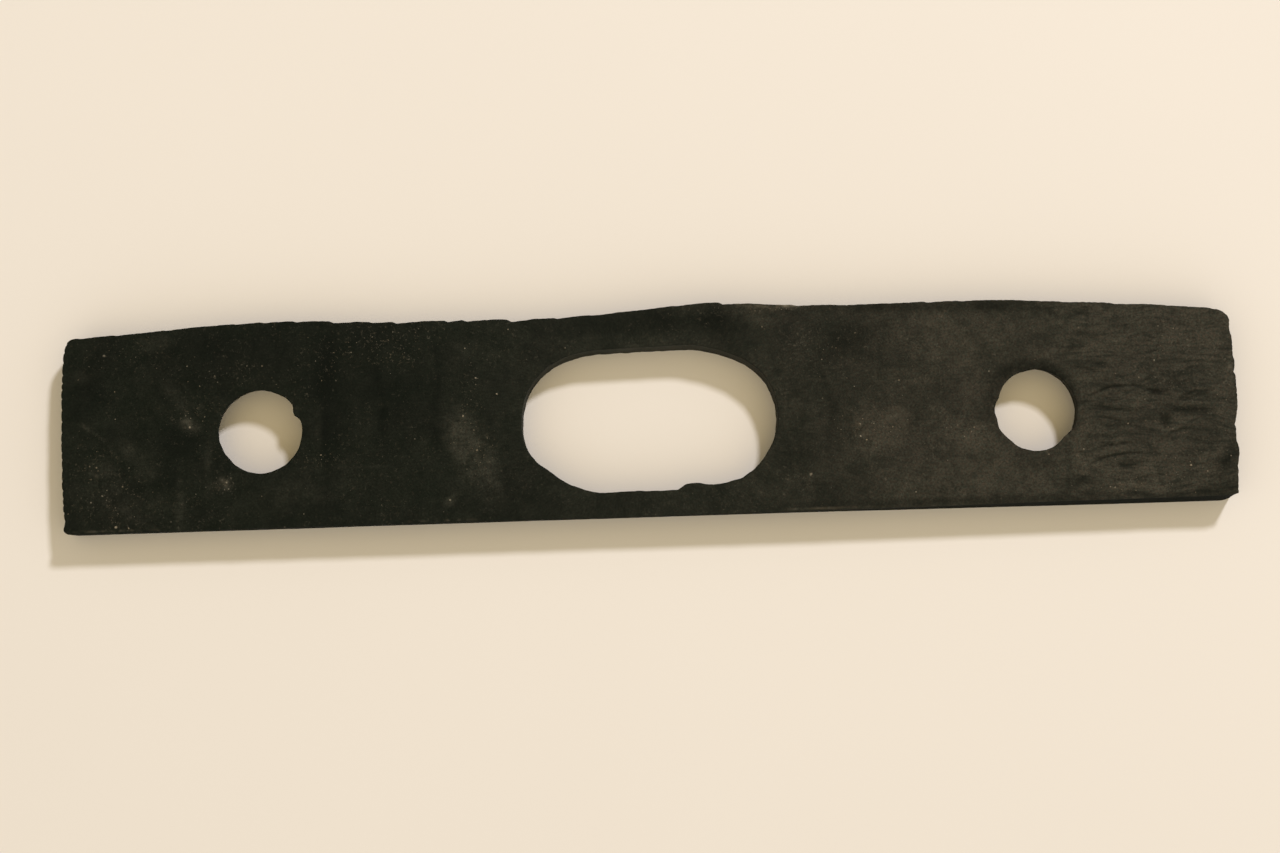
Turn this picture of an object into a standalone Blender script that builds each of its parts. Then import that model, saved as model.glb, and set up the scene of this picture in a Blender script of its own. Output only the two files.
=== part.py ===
"""Rubber joint strip: one flat piece of sheet rubber with two bolt holes and an oval port.

The strip lies on its back face. +X runs along the factory-cut lower edge, +Y goes from that edge to the
hand-cut upper edge, and +Z goes through the sheet. The origin is under the middle of the strip's box.
"""

import math

import bpy

MM = 0.001

# Driving dimensions, in millimetres.
STRIP_LENGTH = 203.2
STRIP_WIDTH = 37.0
SHEET_THICKNESS = 5.0
ARRIS_WIDTH = 0.2
LEFT_HOLE_DIAMETER = 14.5
RIGHT_HOLE_DIAMETER = 14.2
BOLT_SPACING = 134.0
BOLT_LINE_OFFSET = -0.2
LEFT_HOLE_HEIGHT = 16.8
RIGHT_HOLE_HEIGHT = 16.3
PORT_LENGTH = 43.9
PORT_WIDTH = 25.3
PORT_HEIGHT = 17.0
PORT_SQUARENESS = 2.6

# Smoothness of the outlines: steps for each outline point, and points around each opening.
OUTLINE_STEPS = 8
HOLE_POINTS = 72
PORT_POINTS = 180

# The right end, upwards: how far each point falls short of the full length, and its height.
RIGHT_END = (
    (3.3, 0.0), (1.7, 0.25), (1.15, 0.5), (1.0, 1.2), (0.8, 4.5), (0.35, 7.9), (0.6, 11.5), (0.1, 15.5),
    (0.03, 22.5), (0.15, 27.8), (0.5, 29.5), (0.35, 31.0), (0.9, 32.2), (2.6, 33.0), (6.0, 33.5),
)

# The hand-cut upper edge, right to left: the place along the strip, and the width left there.
UPPER_EDGE = (
    (84.0, 34.5), (72.0, 35.25), (60.0, 35.9), (36.0, 35.9), (24.0, 36.2), (11.0, 37.0),
    (-2.0, 36.0), (-21.0, 35.1), (-27.0, 35.3), (-44.0, 35.4), (-64.0, 36.1), (-79.0, 35.55),
    (-88.0, 34.85), (-96.0, 34.4),
)

# The left end, downwards, measured as the right end is.
LEFT_END = (
    (3.6, 34.2), (1.9, 34.15), (1.1, 33.8), (0.6, 32.8), (0.15, 29.5), (0.05, 21.0), (0.3, 11.0),
    (0.6, 4.2), (0.9, 1.9), (0.7, 0.65), (1.1, 0.2), (2.8, 0.0),
)

# Knife marks on each opening's wall: start, peak and end angle in degrees, anticlockwise from +X, and
# height. A positive height is rubber left standing into the opening, a negative one is too deep a cut.
# A mark at +X is given twice, at 0 and at 360 degrees.
LEFT_HOLE_MARKS = (
    (13, 27, 38, 0.9),
    (172, 214, 276, 0.3),
)
RIGHT_HOLE_MARKS = (
    (84, 102, 124, 0.13),
    (124, 160, 174, 0.32),
    (180, 190, 206, 0.16),
    (218, 227, 236, 0.25),
    (288, 313, 335, 0.5),
)
PORT_MARKS = (
    (-16, 0, 14, -0.28),
    (25, 58, 80, -0.35),
    (60, 104, 128, 0.2),
    (118, 142, 157, -0.4),
    (145, 164, 178, 0.14),
    (172, 182, 189, -0.12),
    (190, 207, 216, 0.66),
    (216, 233, 250, -0.6),
    (250, 262, 276, 0.15),
    (290, 297, 309, 0.9),
    (297, 305, 311, 0.7),
    (311, 326, 338, -0.55),
    (338, 342, 353, 0.2),
    (344, 360, 374, -0.28),
)

LOWER_EDGE_Y = -STRIP_WIDTH / 2
BLACK_RUBBER = (0.028, 0.027, 0.023, 1.0)


def remove_old_objects():
    """Empties the scene, so that the strip is the only thing in it."""
    for old in list(bpy.data.objects):
        bpy.data.objects.remove(old, do_unlink=True)


def make_collection(name):
    """Makes the collection that holds the part."""
    collection = bpy.data.collections.new(name)
    bpy.context.scene.collection.children.link(collection)
    return collection


def make_material(name, colour, roughness, metallic):
    """Makes a Principled BSDF material of one colour."""
    material = bpy.data.materials.new(name)
    material.use_nodes = True
    shader = material.node_tree.nodes["Principled BSDF"]
    shader.inputs["Base Color"].default_value = colour
    shader.inputs["Roughness"].default_value = roughness
    shader.inputs["Metallic"].default_value = metallic
    return material


def outline_points():
    """The strip's outer edge, anticlockwise, from the lower edge's right end to its left end."""
    half = STRIP_LENGTH / 2
    points = [(half - short, LOWER_EDGE_Y + height) for short, height in RIGHT_END]
    points += [(x, LOWER_EDGE_Y + width) for x, width in UPPER_EDGE]
    points += [(short - half, LOWER_EDGE_Y + height) for short, height in LEFT_END]
    return points


def mark_height(angle, marks):
    """How far the knife marks stand into an opening at an angle: each rises and falls in a straight line."""
    height = 0.0
    for start, peak, end, tip in marks:
        if start < angle <= peak:
            height += tip * (angle - start) / (peak - start)
        elif peak < angle < end:
            height += tip * (end - angle) / (end - peak)
    return height


def opening_points(centre, length, width, squareness, marks, count):
    """An opening's edge: a superellipse, a circle at squareness 2, with its knife marks taken off."""
    points = []
    for step in range(count):
        angle = 2 * math.pi * step / count
        across = abs(2 * math.cos(angle) / length) ** squareness
        up = abs(2 * math.sin(angle) / width) ** squareness
        radius = (across + up) ** (-1 / squareness) - mark_height(math.degrees(angle), marks)
        points.append((centre[0] + radius * math.cos(angle), centre[1] + radius * math.sin(angle)))
    return points


def hole_points(x, height, diameter, marks):
    """A bolt hole's edge, at a place along the strip and a height over the lower edge."""
    centre = (x, LOWER_EDGE_Y + height)
    return opening_points(centre, diameter, diameter, 2, marks, HOLE_POINTS)


def add_smooth_spline(curve, points):
    """Adds a closed Bezier spline through the points, whose last span, the lower edge, is straight."""
    spline = curve.splines.new("BEZIER")
    spline.bezier_points.add(len(points) - 1)
    for knot, (x, y) in zip(spline.bezier_points, points):
        knot.co = (x * MM, y * MM, 0)
        knot.handle_left_type = "AUTO"
        knot.handle_right_type = "AUTO"
    spline.bezier_points[0].handle_left_type = "VECTOR"
    spline.bezier_points[-1].handle_right_type = "VECTOR"
    spline.resolution_u = OUTLINE_STEPS
    spline.use_cyclic_u = True


def add_straight_spline(curve, points):
    """Adds a closed spline of short straight spans."""
    spline = curve.splines.new("POLY")
    spline.points.add(len(points) - 1)
    for knot, (x, y) in zip(spline.points, points):
        knot.co = (x * MM, y * MM, 0, 1)
    spline.use_cyclic_u = True


def make_rubber_strip(collection, material):
    """Makes the strip: its filled outline, open at the bolt holes and the port, as thick as the sheet."""
    curve = bpy.data.curves.new("rubber_strip", "CURVE")
    curve.dimensions = "2D"
    curve.fill_mode = "BOTH"
    curve.extrude = (SHEET_THICKNESS / 2 - ARRIS_WIDTH) * MM
    curve.materials.append(material)
    ease_arrises(curve)

    add_smooth_spline(curve, outline_points())
    left_x = BOLT_LINE_OFFSET - BOLT_SPACING / 2
    right_x = BOLT_LINE_OFFSET + BOLT_SPACING / 2
    add_straight_spline(curve, hole_points(left_x, LEFT_HOLE_HEIGHT, LEFT_HOLE_DIAMETER, LEFT_HOLE_MARKS))
    add_straight_spline(curve, hole_points(right_x, RIGHT_HOLE_HEIGHT, RIGHT_HOLE_DIAMETER, RIGHT_HOLE_MARKS))
    port_centre = (0, LOWER_EDGE_Y + PORT_HEIGHT)
    add_straight_spline(
        curve,
        opening_points(port_centre, PORT_LENGTH, PORT_WIDTH, PORT_SQUARENESS, PORT_MARKS, PORT_POINTS),
    )

    strip = bpy.data.objects.new("rubber_strip", curve)
    strip.location.z = SHEET_THICKNESS * MM / 2
    collection.objects.link(strip)
    join_caps(strip)


def ease_arrises(curve):
    """Takes the sharpness off the edges of both faces, and leaves the walls where the outline puts them."""
    curve.bevel_depth = ARRIS_WIDTH * MM
    curve.bevel_resolution = 0
    curve.offset = -ARRIS_WIDTH * MM


def join_caps(strip):
    """Joins the filled faces to the walls."""
    weld = strip.modifiers.new("Join caps", "WELD")
    weld.merge_threshold = 0.001 * MM


def main():
    remove_old_objects()
    collection = make_collection("rubber_joint_strip")
    rubber = make_material("black_rubber", BLACK_RUBBER, roughness=0.75, metallic=0.0)
    make_rubber_strip(collection, rubber)


main()
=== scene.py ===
"""Looks of the rubber joint strip: its cut edges, its worn and dusty faces, and the studio around it.

Shapes are worked out in millimetres and turned into metres when a mesh is made. +X runs along the straight
lower edge, +Y towards the hand-cut upper edge, and +Z out of the front face.
"""

import math

import bpy
import numpy as np
from mathutils import Matrix, Vector
from mathutils.geometry import delaunay_2d_cdt
from mathutils.kdtree import KDTree


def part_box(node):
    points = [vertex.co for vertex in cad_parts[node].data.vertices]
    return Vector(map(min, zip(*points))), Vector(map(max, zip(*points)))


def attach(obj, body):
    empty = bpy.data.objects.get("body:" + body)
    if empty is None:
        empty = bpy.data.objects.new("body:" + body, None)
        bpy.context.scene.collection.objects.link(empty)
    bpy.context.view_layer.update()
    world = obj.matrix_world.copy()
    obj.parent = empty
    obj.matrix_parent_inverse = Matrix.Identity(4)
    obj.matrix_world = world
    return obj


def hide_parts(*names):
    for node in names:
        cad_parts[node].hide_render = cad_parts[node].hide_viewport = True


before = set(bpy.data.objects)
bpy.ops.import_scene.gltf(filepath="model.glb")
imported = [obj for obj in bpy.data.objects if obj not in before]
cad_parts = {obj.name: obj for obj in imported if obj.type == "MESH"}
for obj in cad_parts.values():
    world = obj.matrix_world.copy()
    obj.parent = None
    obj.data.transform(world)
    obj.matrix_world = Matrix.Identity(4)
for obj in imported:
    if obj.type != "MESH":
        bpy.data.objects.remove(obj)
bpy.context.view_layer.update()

MM = 0.001
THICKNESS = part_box("rubber_strip")[1].z / MM

# Point spacing, in millimetres: along the rims, by the side that they face, and over the two faces.
LOWER_SPACING = 0.5
UPPER_SPACING = 0.3
LEFT_SPACING = 0.16
RIGHT_SPACING = 0.25
OPENING_SPACING = 0.25
FRONT_SPACING = 0.45
FLOW_SPACING = 0.3
CREASE_SPACING = 0.2
BACK_SPACING = 1.0

# Where the flow lines set in towards the right, from where the face has more points for them, and which part
# is creased: left, right, bottom and top.
FLOW_RISE = (62, 82)
FLOW_START = 68.0
CREASED = (70.0, 98.5, -15.5, 5.5)

# The rounded arris and the face beside it: how far in from the rim its rings of points lie.
FRONT_RINGS = (0.06, 0.16, 0.38)
BACK_RINGS = (0.10, 0.40)
WALL_ROWS = 10

# How far the cutter had spread each bolt hole by the time it reached the back, and how far it had strayed.
LEFT_FLARE = (0.65, (-0.3, 0.2))
RIGHT_FLARE = (0.6, (0.0, 0.3))

# How far the lower edge leans: inwards at the back on its left half, and at the front on its right.
LEAN_LEFT = 0.3
LEAN_RIGHT = 0.42

# Where each knife stroke along a cut edge ended: its place, the drop there, and the run in which it recovers.
UPPER_NOTCHES = (
    (-92.0, 0.12, 3.5), (-83.5, 0.12, 4.0), (-71.2, 0.12, 3.5), (-66.6, 0.16, 4.0), (-60.9, 0.18, 3.0),
    (-54.4, 0.30, 4.0), (-47.6, 0.12, 3.0), (-43.4, 0.30, 4.5), (-34.4, 0.30, 2.2), (-31.3, 0.28, 4.5),
    (-23.5, 0.40, 4.0), (-15.4, 0.22, 3.0), (-9.4, 0.16, 5.0), (5.6, 0.14, 4.0), (13.5, 0.28, 4.5),
    (26.0, 0.12, 4.0), (33.6, 0.10, 6.0), (49.0, 0.18, 3.5), (54.6, 0.12, 5.0), (72.6, 0.12, 4.0),
    (81.5, 0.14, 5.0), (91.0, 0.12, 4.0),
)
RIGHT_NOTCHES = (
    (-16.9, 0.12, 2.0), (-13.2, 0.10, 2.5), (-8.8, 0.14, 2.2), (-5.8, 0.22, 3.0), (3.4, 0.26, 1.2),
    (6.2, 0.22, 3.0),
)

# Creases where the sheet folded and knitted together as it was moulded: depth, width and route.
CREASES = (
    (
        0.14, 0.21,
        ((75.2, -0.9), (76.4, 0.1), (77.9, 0.8), (79.9, 1.4), (81.8, 1.5), (83.8, 1.5), (85.6, 1.1)),
    ),
    (0.10, 0.35, ((84.9, 1.3), (86.4, 0.8), (87.3, 0.4), (88.8, 0.4), (90.0, 0.6))),
    (0.06, 0.20, ((77.2, -0.3), (78.3, -0.1), (79.5, -0.7), (80.9, -1.2))),
    (
        0.10, 0.32,
        ((75.0, -2.8), (77.0, -2.1), (78.9, -2.2), (80.6, -2.5), (82.3, -2.8), (83.7, -3.1), (85.4, -2.8)),
    ),
    (0.10, 0.18, ((77.3, -3.7), (79.3, -4.1), (80.4, -4.4), (82.0, -4.7))),
    (0.05, 0.18, ((77.0, -5.0), (77.9, -5.1), (79.4, -5.4), (80.4, -5.4))),
    (0.06, 0.24, ((75.4, -7.4), (76.8, -7.1), (78.2, -7.1), (79.9, -7.5))),
    (0.12, 0.22, ((77.0, -9.1), (78.4, -8.8), (79.9, -8.7), (81.4, -8.5), (83.6, -8.4))),
    (0.07, 0.16, ((70.6, -9.5), (72.3, -9.7), (73.9, -9.8), (76.0, -10.1))),
    (0.13, 0.21, ((75.0, -12.1), (77.3, -11.1), (79.1, -10.6), (80.8, -10.3), (82.5, -10.2), (85.0, -10.4))),
    (0.06, 0.35, ((79.2, -11.8), (81.0, -12.4), (83.3, -12.2), (85.4, -11.7))),
    (0.09, 0.22, ((82.4, -14.8), (84.2, -14.5), (86.0, -14.2), (87.6, -14.1), (89.4, -14.4))),
    (0.12, 0.26, ((90.4, -2.1), (91.8, -1.0), (93.1, -0.3), (94.6, 0.2), (96.1, 0.2), (98.4, 0.5))),
    (0.07, 0.22, ((91.4, -1.8), (93.3, -0.9), (95.0, -0.5), (97.4, -0.4))),
    (0.10, 0.50, ((88.6, -3.8), (91.0, -3.0), (92.9, -2.9), (94.8, -3.0), (97.6, -3.3))),
    (0.10, 0.34, ((86.6, -8.5), (88.4, -7.8), (90.4, -6.8), (91.7, -6.4), (94.6, -6.4))),
    (0.07, 0.24, ((72.8, 4.9), (74.8, 5.0), (77.4, 4.3), (79.6, 4.1))),
    (0.05, 0.24, ((76.4, 2.7), (78.4, 2.7), (80.6, 2.4))),
)

# The pit among the creases and the painted shade in it: middle, half length, half width, turn, and depth or
# strength.
PIT = (88.5, -4.9, 1.2, 1.7, 0, 0.20)
PIT_SHADE = (88.9, -4.7, 1.1, 1.4, 0, 0.40)

# Dark streaks in the surface: strength, width and route.
STREAKS = (
    (0.26, 0.55, ((68.6, -14.0), (71.8, -14.8), (74.4, -14.7), (77.1, -14.0))),
    (0.30, 0.34, ((69.4, -16.2), (73.1, -16.8), (76.6, -16.0))),
    (0.36, 0.34, ((69.7, 9.1), (72.7, 8.4), (75.3, 8.9), (77.4, 10.1), (78.9, 10.4))),
    (0.38, 0.55, ((64.6, 16.1), (69.5, 14.9), (75.1, 14.7), (77.8, 15.6), (81.1, 15.5))),
    (0.28, 0.45, ((55.9, 15.7), (59.3, 16.0), (62.6, 15.8))),
    (0.26, 0.60, ((62.0, -10.6), (65.2, -11.4), (68.4, -12.2))),
    (0.28, 0.30, ((72.9, 11.2), (75.5, 10.8), (77.5, 11.2))),
    (0.28, 0.30, ((81.9, 13.1), (83.5, 12.1), (86.1, 11.5))),
    (0.22, 0.50, ((73.4, 5.6), (77.0, 4.9), (79.9, 5.9))),
    (0.30, 0.70, ((88.6, 1.8), (91.2, 2.3), (94.0, 1.2))),
    (0.26, 0.55, ((96.4, -14.2), (98.4, -12.4), (99.8, -10.8), (100.8, -9.0))),
    (0.34, 0.22, ((-86.2, 9.9), (-84.6, 6.0), (-83.1, 3.1))),
    (0.30, 0.60, ((28.0, 7.5), (30.6, 3.6), (31.6, -1.0), (31.2, -5.0))),
    (0.24, 0.80, ((24.6, 9.0), (26.0, 4.0), (26.2, -2.0), (24.4, -9.0))),
    (0.40, 0.60, ((-46.0, 16.0), (-47.2, 9.0), (-46.0, 2.0), (-46.8, -6.0))),
    (0.36, 0.50, ((-37.2, 15.0), (-36.2, 8.0), (-37.0, 0.0), (-36.4, -8.0))),
    (0.30, 0.40, ((-55.4, 4.0), (-56.2, -3.0), (-55.6, -10.0))),
)

# Scratches that scuffed the face pale, and pale lines on the lower arris that are worn rubber and painted
# highlight: strength, width and route.
SCRATCHES_AND_EDGE_HIGHLIGHT = (
    (0.40, 0.07, ((-98.3, 0.8), (-95.8, -1.0), (-93.3, -3.4), (-91.4, -6.0))),
    (0.45, 0.11, ((-98.2, 0.6), (-97.0, -0.4), (-95.9, -1.0))),
    # Along the lower arris: worn rubber and painted highlight.
    (0.24, 0.12, ((-97.4, -18.05), (-92.0, -18.05), (-86.0, -18.0))),
    (0.30, 0.12, ((22.0, -18.0), (30.0, -18.0), (38.0, -18.0))),
    (0.50, 0.12, ((-96.8, -8.0), (-95.7, -8.3), (-94.6, -9.0))),
    (0.20, 0.08, ((-83.1, 8.2), (-80.3, 4.9))),
    (0.16, 0.08, ((-82.2, 9.2), (-78.2, 4.3))),
    (0.25, 0.12, ((45.6, 15.4), (46.6, 14.4), (48.4, 13.6))),
    (0.22, 0.10, ((-56.0, -8.2), (-50.5, -8.5), (-45.2, -8.3))),
    (
        0.35, 0.12,
        ((-28.0, -10.4), (-27.2, -10.6), (-26.2, -12.4), (-26.8, -12.9), (-27.8, -11.6), (-28.0, -10.4)),
    ),
)

# Dust and bloom on the front face: middle, half length, half width, turn in degrees, and strength.
DUST_PATCHES = (
    (39.7, -4.2, 4.8, 4.2, -60, 0.60),
    (54.0, -6.0, 5.0, 2.6, -30, 0.34),
    (45.5, -9.0, 5.0, 2.0, -35, 0.14),
    (-30.6, -6.5, 8.0, 3.2, -62, 0.50),
    (-27.0, -11.8, 1.4, 0.7, -50, 0.25),
    (-33.0, 11.0, 3.0, 2.0, 30, 0.12),
    (21.5, 17.5, 5.5, 0.6, -3, 1.00),
    (20.0, 15.8, 5.5, 1.6, -5, 0.30),
    (-76.1, -8.2, 5.5, 0.8, 90, 0.15),
    (-81.0, -13.0, 5.0, 0.8, 90, 0.24),
    (-92.0, -13.5, 8.0, 4.0, -15, 0.14),
    (-79.3, -0.3, 2.0, 1.3, -40, 0.50),
    (-81.5, 4.6, 4.6, 1.1, -52, 0.13),
    (-73.4, -10.6, 1.8, 1.4, 0, 0.20),
    (-58.5, -11.5, 9.0, 4.0, 10, 0.10),
    (95.0, 10.0, 5.0, 4.0, -40, 0.26),
    (100.4, 2.8, 2.4, 0.8, 88, 0.45),
    (-78.0, 2.6, 1.6, 1.2, -30, 0.30),
    (-89.0, -5.0, 3.2, 1.8, -40, 0.15),
    (-87.1, -8.4, 2.6, 1.6, 10, 0.16),
    (-98.7, 9.0, 1.6, 1.2, 0, 0.12),
    (-94.0, -7.4, 2.2, 1.4, -20, 0.16),
    (-85.6, 14.6, 4.6, 2.0, 20, 0.13),
    (-57.5, -1.5, 1.2, 5.0, 0, 0.10),
    (-34.6, -14.9, 1.6, 0.8, 40, 0.45),
    (88.0, -13.0, 12.0, 3.0, 5, 0.14),
    (84.0, 9.0, 9.0, 2.0, 10, 0.12),
    (60.0, -12.0, 9.0, 4.0, 10, 0.12),
)

# Darker rubber on the front face, given in the same way: mostly cleaner rubber, but painted shade on creases,
# in the pit and along the lower edge.
DARK_PATCHES = (
    (-81.0, -3.2, 4.2, 3.2, 20, 0.42),
    (-83.0, -9.5, 3.2, 2.4, 60, 0.20),
    (-56.0, 9.0, 6.5, 3.0, 80, 0.34),
    (-55.0, -3.0, 18.0, 2.0, 90, 0.22),
    (-43.5, 2.0, 5.0, 3.5, 60, 0.26),
    (-70.0, 14.0, 12.0, 3.0, 0, 0.16),
    (-96.0, 4.5, 4.0, 3.0, 30, 0.20),
    (0.0, 15.3, 15.0, 2.4, 0, 0.42),
    (13.0, 14.0, 4.5, 3.2, -40, 0.34),
    (50.0, 16.8, 22.0, 1.5, -1, 0.36),
    (30.5, 8.5, 6.0, 3.0, 50, 0.18),
    (24.5, -9.0, 5.0, 3.4, 40, 0.18),
    (35.5, 11.5, 4.2, 3.0, 30, 0.20),
    (57.5, -11.0, 2.6, 1.8, 30, 0.24),
    (73.7, -14.7, 4.2, 1.2, 0, 0.22),
    (99.2, -12.6, 3.6, 1.9, 50, 0.30),
    (97.0, -16.8, 3.8, 1.2, 8, 0.36),
    # Painted shade: the next three lie on creases, and the fourth in the pit.
    (87.5, 0.3, 1.3, 0.7, 0, 0.26),
    (82.6, -11.7, 2.2, 0.9, 10, 0.20),
    (94.8, -3.3, 2.6, 0.7, 0, 0.22),
    (88.6, -5.0, 1.3, 1.2, 0, 0.10),
    # Painted shade: a dark line along the lower edge.
    (60.0, -17.6, 45.0, 0.8, 0, 0.34),
    (78.0, 6.3, 3.0, 0.8, 20, 0.14),
)

# Scraped or gritty places that look pale in specks, given in the same way; those along the lower edge are
# worn rubber and painted highlight.
SCUFFS_AND_EDGE_HIGHLIGHT = (
    (21.2, 17.95, 5.0, 0.50, -3.5, 0.240),
    (20.0, 16.6, 3.0, 0.60, -5, 0.010),
    (36.2, -4.4, 1.5, 2.2, 20, 0.020),
    (42.8, -3.2, 2.4, 2.2, 0, 0.022),
    (54.4, -4.6, 2.0, 1.4, 0, 0.014),
    (100.7, 4.6, 1.5, 0.5, 88, 0.070),
    (-79.6, -0.2, 1.4, 0.8, -30, 0.030),
    (-73.3, -10.6, 1.4, 1.1, 0, 0.028),
    (-96.0, -8.3, 1.4, 0.3, -25, 0.040),
    # Along the lower arris: worn rubber and painted highlight.
    (-92.0, -18.15, 9.0, 0.16, 0, 0.035),
    (-36.0, -18.15, 6.0, 0.16, 0, 0.030),
    (30.0, -18.15, 9.0, 0.16, 0, 0.035),
    (83.0, -15.8, 6.0, 0.8, 4, 0.016),
    (70.0, 8.0, 3.5, 0.8, 20, 0.012),
)

# Single pale grains of grit: middle, radius and brightness.
GRAINS = (
    (-79.3, -0.5, 0.26, 0.50), (-77.6, 6.6, 0.20, 0.30), (-72.9, -10.4, 0.24, 0.42),
    (-72.2, -9.6, 0.16, 0.30), (-56.7, -6.1, 0.20, 0.60), (-94.2, 12.5, 0.34, 0.25),
    (-94.3, -12.0, 0.22, 0.30), (-96.2, -13.1, 0.20, 0.35), (-91.9, -17.4, 0.32, 0.60),
    (-91.3, -17.6, 0.26, 0.45), (-89.7, -17.7, 0.28, 0.40), (-90.8, -10.5, 0.22, 0.34),
    (-92.3, 6.1, 0.16, 0.35), (-92.2, 1.3, 0.16, 0.35), (-76.7, 1.2, 0.16, 0.30),
    (-66.8, 9.8, 0.22, 0.28), (-69.4, 9.9, 0.18, 0.22), (-59.8, -1.6, 0.14, 0.30),
    (-32.1, -0.1, 0.24, 0.62), (-26.2, 3.6, 0.24, 0.70), (-29.8, 6.5, 0.22, 0.55),
    (-24.0, 14.9, 0.18, 0.50), (-29.8, -6.1, 0.24, 0.42), (-30.3, -2.6, 0.20, 0.36),
    (-31.6, 11.8, 0.18, 0.40), (-40.5, -3.8, 0.16, 0.24), (-37.8, -18.0, 0.28, 0.45),
    (-40.4, -18.0, 0.22, 0.34), (-34.6, -14.6, 0.26, 0.36), (-14.2, 11.3, 0.17, 0.45),
    (36.3, -5.8, 0.22, 0.58), (37.3, -6.5, 0.22, 0.55), (36.3, -3.7, 0.18, 0.40),
    (41.9, -4.4, 0.20, 0.36), (27.5, -12.1, 0.42, 0.34), (35.6, 2.9, 0.18, 0.36),
    (34.4, 4.4, 0.16, 0.30), (43.4, 3.7, 0.20, 0.40), (45.3, -15.8, 0.18, 0.45),
    (20.1, 13.9, 0.18, 0.36), (-79.8, 10.2, 0.18, 0.30), (-85.1, 10.0, 0.16, 0.22),
    (-75.0, 8.3, 0.20, 0.20), (-59.7, -16.2, 0.18, 0.30), (-66.9, -12.9, 0.16, 0.26),
    (-100.1, -14.9, 0.18, 0.30), (-98.7, 8.4, 0.20, 0.16), (-95.3, -7.1, 0.26, 0.34),
    (-96.5, -6.8, 0.20, 0.24), (-57.5, 10.4, 0.16, 0.28), (-89.7, -7.3, 0.18, 0.26),
    (-78.2, -12.2, 0.16, 0.26), (55.9, -4.9, 0.20, 0.40), (92.7, -12.7, 0.32, 0.62),
    (95.5, -13.8, 0.22, 0.34), (82.4, -5.1, 0.20, 0.45), (74.5, -9.3, 0.18, 0.50),
    (87.7, 5.8, 0.18, 0.45), (79.4, -16.1, 0.22, 0.36), (99.7, -11.3, 0.18, 0.42),
    (68.5, -10.0, 0.18, 0.40), (59.0, 4.8, 0.20, 0.36), (91.4, 11.3, 0.16, 0.34),
)

# Loose drifts of finer grit: middle, half length, half width, and number of standing grains.
GRIT_DRIFTS = (
    (-92.0, -13.0, 8.0, 4.5, 80), (-79.0, 2.0, 5.0, 4.0, 44), (-70.0, 8.0, 7.0, 2.6, 40),
    (-73.4, -10.6, 1.8, 1.6, 30), (-58.0, -7.0, 5.0, 1.6, 22), (-48.0, 12.0, 10.0, 4.0, 26),
    (-31.0, 2.0, 2.6, 8.0, 50), (-29.0, -8.0, 3.0, 5.0, 30), (-41.0, 13.0, 8.0, 4.0, 26),
    (38.0, -4.0, 6.0, 5.0, 70), (54.0, -6.0, 5.0, 3.0, 36), (30.0, 10.0, 9.0, 5.0, 36),
    (88.0, -13.0, 10.0, 4.0, 60), (80.0, -15.8, 4.0, 1.0, 26), (90.0, 3.0, 9.0, 8.0, 40),
    (-92.0, 13.0, 6.0, 3.0, 24), (22.0, 16.9, 7.0, 0.5, 50), (-64.0, 17.0, 22.0, 0.8, 30),
    (-97.0, -6.0, 3.0, 4.0, 24),
)
SCATTERED_GRAINS = 280

# Colours: the clean rubber, two kinds of dust on it, and two kinds of grit.
OLIVE_BLACK = (0.0026, 0.0046, 0.0027, 1)
WARM_DUST = (0.0422, 0.0358, 0.0272, 1)
GREY_DUST = (0.0325, 0.0352, 0.0275, 1)
CREAM_GRIT = (0.62, 0.57, 0.46, 1)
OCHRE_GRIT = (0.46, 0.38, 0.27, 1)

# The soft surround, at the horizon and overhead, and how much brighter it is in front than to the sides.
HORIZON = (0.70, 0.755, 0.88, 1)
OVERHEAD = (0.69, 0.49, 0.165, 1)
FRONT_GAIN = 0.75

# The key light: its size, power, colour, height and turn from +X in degrees, and distance, in metres.
KEY_SIZE = 0.25
KEY_POWER = 27.0
KEY_COLOUR = (1.0, 0.94, 0.935)
KEY_HEIGHT = 38.6
KEY_TURN = 56.0
KEY_DISTANCE = 2.0

# The camera: its lens, how far it aims from the middle of the strip's top, its angles and its distance.
LENS = 53.44
AIM_OFFSET = (-1.64, -2.92)
CAMERA_TURN = -0.223
CAMERA_TILT = 8.5
CAMERA_ROLL = -1.624
CAMERA_DISTANCE = 0.3276


# ---------------------------------------------------------------- outlines


def cad_loops(node):
    """The closed loops of points round the strip and its openings, with the rubber on their left."""
    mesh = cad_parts[node].data
    mesh.calc_loop_triangles()
    following = {}
    for triangle in mesh.loop_triangles:
        if abs(triangle.normal.z) > 0.1:
            continue
        corners = [mesh.vertices[index].co / MM for index in triangle.vertices]
        for first, second in zip(corners, corners[1:] + corners[:1]):
            if min(first.z, second.z) > THICKNESS / 2 and abs(first.z - second.z) < 0.001:
                following[round(second.x, 3), round(second.y, 3)] = (round(first.x, 3), round(first.y, 3))
    loops = []
    while following:
        start, point = following.popitem()
        loop = [start]
        while point != start:
            loop.append(point)
            point = following.pop(point)
        loops.append(np.array(loop))
    return loops


def loop_area(points):
    """A loop's area, above zero where it runs anticlockwise."""
    x, y = points.T
    return 0.5 * float(np.sum(x * np.roll(y, -1) - y * np.roll(x, -1)))


def travelled(points):
    """How far along a closed loop each point lies, and the loop's length."""
    steps = np.hypot(*(np.roll(points, -1, axis=0) - points).T)
    return np.concatenate([[0.0], np.cumsum(steps)[:-1]]), float(steps.sum())


def placed(points, places):
    """A closed loop's points at other places along it."""
    travel, length = travelled(points)
    travel = np.append(travel, length)
    closed = np.vstack([points, points[:1]])
    return np.column_stack([np.interp(places, travel, closed[:, axis]) for axis in (0, 1)])


def eased(values, passes):
    """Values round a loop, each drawn towards its neighbours."""
    for _ in range(passes):
        values = (np.roll(values, 1, axis=0) + 2 * values + np.roll(values, -1, axis=0)) / 4
    return values


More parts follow.
